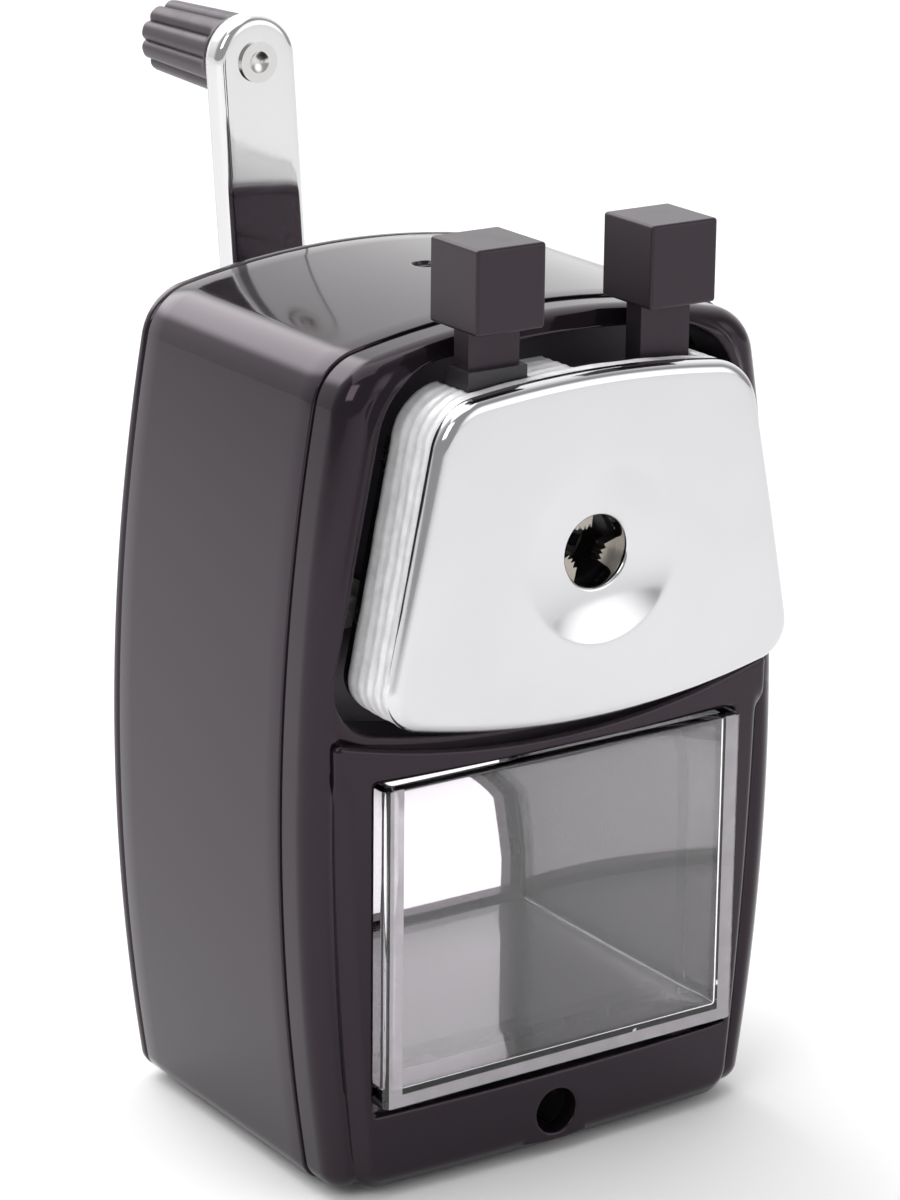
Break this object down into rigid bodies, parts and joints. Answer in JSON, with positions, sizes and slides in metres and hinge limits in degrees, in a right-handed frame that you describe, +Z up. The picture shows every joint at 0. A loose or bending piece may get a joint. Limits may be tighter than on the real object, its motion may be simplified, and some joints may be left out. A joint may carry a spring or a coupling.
{
  "type": "pencil sharpener",
  "caption": "Desktop crank pencil sharpener with a sprung feed head, squeeze-grip chuck, helical cutter and clear shavings drawer.",
  "frame": {"origin": "centre of the footprint of the rubber pad and body, on the surface that it stands on", "axes": "+Z up, the front with the pencil hole faces -Y, the crank is at +Y, +X is to the right seen from the front"},
  "size_m": [0.0768, 0.1031, 0.1458],
  "materials": {
    "hood_paint": "gloss dark plum-black stove enamel on steel",
    "frame_gloss": "gloss black moulded ABS",
    "rear_black": "gloss black moulded ABS",
    "inner_black": "matte black moulded plastic",
    "chuck_black": "satin black moulded plastic",
    "grip_black": "satin black moulded plastic",
    "knob_black": "satin black moulded plastic",
    "white_acetal": "natural acetal",
    "pad_rubber": "soft black rubber",
    "clear_styrene": "clear polystyrene",
    "cover_chrome": "bright plated, softly polished",
    "arm_chrome": "chromed pressed steel",
    "steel_bright": "bright turned steel",
    "jaw_steel": "plated pressed steel",
    "tool_steel": "ground hardened steel",
    "spring_wire": "zinc-plated spring wire",
    "screw_black": "blackened steel"
  },
  "bodies": {
    "body": {"body_shell": "hood_paint", "shell_screw": "screw_black", "front_frame": "frame_gloss", "clamp_socket": "steel_bright", "base_plate": "inner_black", "rubber_pad": "pad_rubber", "base_screws": "screw_black", "drawer_deck": "inner_black", "bulkhead": "inner_black", "guide_sleeves": "white_acetal", "cutter_housing": "inner_black", "ring_gear": "white_acetal", "rear_cover": "rear_black", "housing_screws": "screw_black", "rear_cap": "rear_black", "rear_bushing": "white_acetal", "feed_spring_left": "spring_wire", "feed_spring_right": "spring_wire"},
    "drawer": {"drawer": "clear_styrene"},
    "feed_unit": {"face_cover": "cover_chrome", "chuck_base": "chuck_black", "fixed_grip": "grip_black", "jaw_pins": "steel_bright", "chuck_back_plate": "jaw_steel", "chuck_screws": "screw_black", "guide_rod_left": "steel_bright", "guide_rod_right": "steel_bright", "rod_clips": "spring_wire", "lever_spring": "spring_wire"},
    "thumb_lever": {"thumb_lever": "grip_black"},
    "jaw_1": {"jaw_1": "jaw_steel"},
    "jaw_2": {"jaw_2": "jaw_steel"},
    "jaw_3": {"jaw_3": "jaw_steel"},
    "crank": {"crank_shaft": "steel_bright", "cutter_carrier": "jaw_steel", "cutter_axle": "steel_bright", "crank_arm": "arm_chrome", "crank_nut": "arm_chrome", "knob_pin": "steel_bright"},
    "cutter": {"cutter": "tool_steel", "cutter_pinion": "tool_steel"},
    "knob": {"crank_knob": "knob_black"}
  },
  "joints": [
    {"name": "drawer_slide", "type": "slide", "parent": "body", "child": "drawer", "axis": [0, -1, 0], "range_m": [0, 0.046]},
    {"name": "feed_slide", "type": "slide", "parent": "body", "child": "feed_unit", "axis": [0, -1, 0], "range_m": [0, 0.022], "stiffness_N_per_m": 60, "springref_m": -0.01, "deforming": ["feed_spring_left", "feed_spring_right"]},
    {"name": "lever_turn", "type": "hinge", "parent": "feed_unit", "child": "thumb_lever", "pos_m": [0, -0.02765, 0.0877], "axis": [0, -1, 0], "range_deg": [0, 18], "stiffness_Nm_per_rad": 0.08, "springref_deg": -8.59, "deforming": ["lever_spring"]},
    {"name": "jaw_1_turn", "type": "hinge", "parent": "feed_unit", "child": "jaw_1", "pos_m": [-0.01057, -0.0302, 0.0938], "axis": [0, -1, 0], "range_deg": [0, 14.5]},
    {"name": "jaw_2_turn", "type": "hinge", "parent": "feed_unit", "child": "jaw_2", "pos_m": [0, -0.0302, 0.0755], "axis": [0, -1, 0], "range_deg": [0, 14.5]},
    {"name": "jaw_3_turn", "type": "hinge", "parent": "feed_unit", "child": "jaw_3", "pos_m": [0.01057, -0.0302, 0.0938], "axis": [0, -1, 0], "range_deg": [0, 14.5]},
    {"name": "crank_spin", "type": "hinge", "parent": "body", "child": "crank", "pos_m": [0, 0.03, 0.0877], "axis": [0, 1, 0], "continuous": true},
    {"name": "cutter_spin", "type": "hinge", "parent": "crank", "child": "cutter", "pos_m": [0, -0.0096, 0.09815], "axis": [0, 0.9827, -0.1853], "continuous": true},
    {"name": "knob_spin", "type": "hinge", "parent": "crank", "child": "knob", "pos_m": [-0.0036, 0.058, 0.1394], "axis": [0, 1, 0], "continuous": true}
  ],
  "couplings": [
    {"joint": "jaw_1_turn", "follows": "lever_turn", "ratio": 0.8},
    {"joint": "jaw_2_turn", "follows": "lever_turn", "ratio": 0.8},
    {"joint": "jaw_3_turn", "follows": "lever_turn", "ratio": 0.8},
    {"joint": "cutter_spin", "follows": "crank_spin", "ratio": -2.8333}
  ]
}
